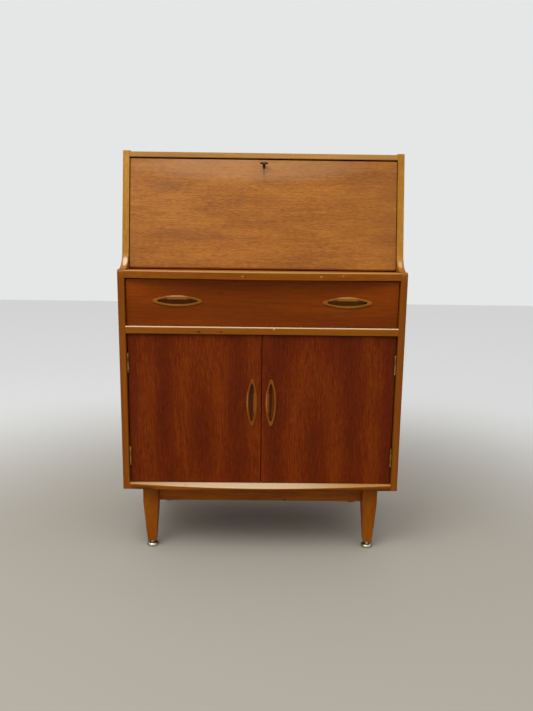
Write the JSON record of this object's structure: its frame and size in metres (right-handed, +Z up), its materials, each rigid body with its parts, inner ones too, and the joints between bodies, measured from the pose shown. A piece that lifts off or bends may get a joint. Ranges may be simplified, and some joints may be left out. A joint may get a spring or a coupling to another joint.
{
  "type": "secretary desk",
  "caption": "Fall-front secretary desk in teak: leaning drop flap with stays and lock over a drawer and two doors, on a tapered-leg frame.",
  "frame": {"origin": "on the floor under the middle of the desk's overall length and depth", "axes": "+Z up, +X to the desk's right seen from the front, the front faces -Y"},
  "size_m": [0.762, 0.4484, 1.107],
  "materials": {
    "teak_panel": "satin honey-brown teak veneer with fine streaked grain",
    "teak_solid": "satin golden solid teak with eased edges",
    "teak_flap": "satin teak veneer, grain running across",
    "teak_drawer": "satin red-brown teak veneer, grain running across",
    "teak_door": "satin red-brown teak veneer, grain running upright",
    "teak_leg": "satin teak-stained solid hardwood",
    "interior_wood": "matt pale hardwood, unstained inside",
    "back_board": "matt brown hardboard",
    "brass": "aged brass with dulled edges",
    "steel": "plain steel, lightly brushed",
    "nickel": "dulled nickel plate",
    "catch_plastic": "brown moulded plastic"
  },
  "bodies": {
    "carcass": {"back_panel": "back_board", "back_panel_screws": "steel", "bottom_board": "interior_wood", "bottom_lipping": "teak_solid", "corner_blocks": "interior_wood", "cupboard_shelf": "interior_wood", "divider_board": "interior_wood", "divider_lipping": "teak_solid", "door_catches": "catch_plastic", "drawer_runners": "interior_wood", "front_apron": "teak_leg", "glides": "nickel", "hinge_carcass_leaves": "brass", "hinge_pins": "brass", "leg_front_left": "teak_leg", "leg_front_right": "teak_leg", "leg_rear_left": "teak_leg", "leg_rear_right": "teak_leg", "pigeonhole_dividers": "interior_wood", "pigeonhole_shelf": "interior_wood", "pivot_bushes": "brass", "rear_apron": "teak_leg", "shelf_pins": "brass", "side_apron_left": "teak_leg", "side_apron_right": "teak_leg", "side_lipping_left": "teak_solid", "side_lipping_right": "teak_solid", "side_panel_left": "teak_panel", "side_panel_right": "teak_panel", "stay_studs": "brass", "strike_plate": "brass", "top_board": "teak_panel", "top_lipping": "teak_solid", "worktop": "teak_panel", "worktop_lipping": "teak_solid", "writing_board": "interior_wood"},
    "flap": {"flap_panel": "teak_flap", "flap_pivot_pins": "steel", "lock_case": "steel", "keyhole_escutcheon": "brass", "stay_brackets": "brass"},
    "stay_left": {"stay_arm_left": "brass"},
    "stay_right": {"stay_arm_right": "brass"},
    "key": {"key": "steel"},
    "bolt": {"lock_bolt": "steel"},
    "drawer": {"drawer_front": "teak_drawer", "drawer_side_left": "interior_wood", "drawer_side_right": "interior_wood", "drawer_back": "interior_wood", "drawer_bottom": "interior_wood", "drawer_pull_left": "teak_solid", "drawer_pull_right": "teak_solid"},
    "door_left": {"door_left": "teak_door", "door_pull_left": "teak_solid", "hinge_door_leaves_left": "brass", "catch_plate_left": "steel"},
    "door_right": {"door_right": "teak_door", "door_pull_right": "teak_solid", "hinge_door_leaves_right": "brass", "catch_plate_right": "steel"}
  },
  "joints": [
    {"name": "flap_hinge", "type": "hinge", "parent": "carcass", "child": "flap", "pos_m": [0, -0.12012, 0.801], "axis": [1, 0, 0], "range_deg": [0, 99.7]},
    {"name": "stay_left_turn", "type": "hinge", "parent": "flap", "child": "stay_left", "pos_m": [-0.3586, -0.08601, 0.90558], "axis": [1, 0, 0], "range_deg": [-50.85, 0.5]},
    {"name": "stay_right_turn", "type": "hinge", "parent": "flap", "child": "stay_right", "pos_m": [0.3586, -0.08601, 0.90558], "axis": [1, 0, 0], "range_deg": [-50.85, 0.5]},
    {"name": "key_turn", "type": "hinge", "parent": "flap", "child": "key", "pos_m": [0, -0.07382, 1.07184], "axis": [0, -0.9857, 0.1685], "range_deg": [0, 91]},
    {"name": "bolt_slide", "type": "slide", "parent": "flap", "child": "bolt", "axis": [0, 0.1685, 0.9857], "range_m": [0, 0.009]},
    {"name": "drawer_slide", "type": "slide", "parent": "carcass", "child": "drawer", "axis": [0, -1, 0], "range_m": [0, 0.28]},
    {"name": "door_left_hinge", "type": "hinge", "parent": "carcass", "child": "door_left", "pos_m": [-0.3598, -0.1901, 0.2065], "axis": [0, 0, -1], "range_deg": [0, 110]},
    {"name": "door_right_hinge", "type": "hinge", "parent": "carcass", "child": "door_right", "pos_m": [0.3598, -0.1901, 0.2065], "axis": [0, 0, 1], "range_deg": [0, 110]}
  ],
  "couplings": [
    {"joint": "stay_left_turn", "follows": "flap_hinge", "ratio": -0.5},
    {"joint": "stay_right_turn", "follows": "flap_hinge", "ratio": -0.5},
    {"joint": "key_turn", "follows": "bolt_slide", "rad_per_m": 174.53}
  ]
}
